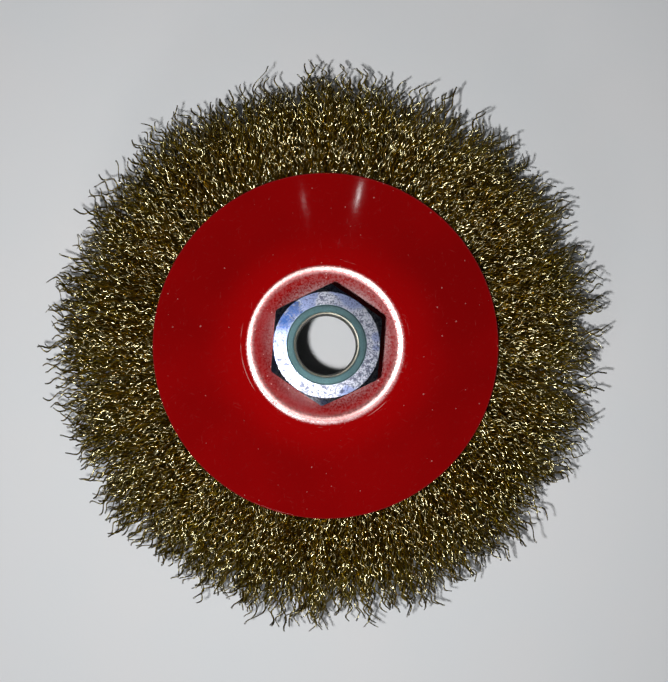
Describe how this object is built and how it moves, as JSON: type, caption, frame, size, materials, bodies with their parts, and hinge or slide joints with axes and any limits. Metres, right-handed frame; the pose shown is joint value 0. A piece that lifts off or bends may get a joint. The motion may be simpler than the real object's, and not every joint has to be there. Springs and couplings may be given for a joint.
{
  "type": "crimped wire bevel brush",
  "caption": "Conical crimped-wire brush for an angle grinder: a red pressed cup with a hexagonal threaded arbor nut and a flared ring of brass-coated steel wires.",
  "frame": {"origin": "on the arbor axis, at the plane that the lowest wire tips stand on", "axes": "+Z along the arbor axis from the wire tips to the nut; +X and +Y across it"},
  "size_m": [0.1172, 0.1172, 0.0341],
  "materials": {
    "cup_paint": "glossy",
    "nut_zinc": "zinc plated",
    "plate_zinc": "zinc plated",
    "ring_steel": "bare",
    "wire": "brass coated"
  },
  "bodies": {
    "root": {"cup": "cup_paint", "arbor_nut": "nut_zinc", "inner_plate": "plate_zinc", "holding_ring": "ring_steel", "wire_bundle_01": "wire", "wire_bundle_02": "wire", "wire_bundle_03": "wire", "wire_bundle_04": "wire", "wire_bundle_05": "wire", "wire_bundle_06": "wire", "wire_bundle_07": "wire", "wire_bundle_08": "wire", "wire_bundle_09": "wire", "wire_bundle_10": "wire", "wire_bundle_11": "wire", "wire_bundle_12": "wire"}
  },
  "joints": []
}
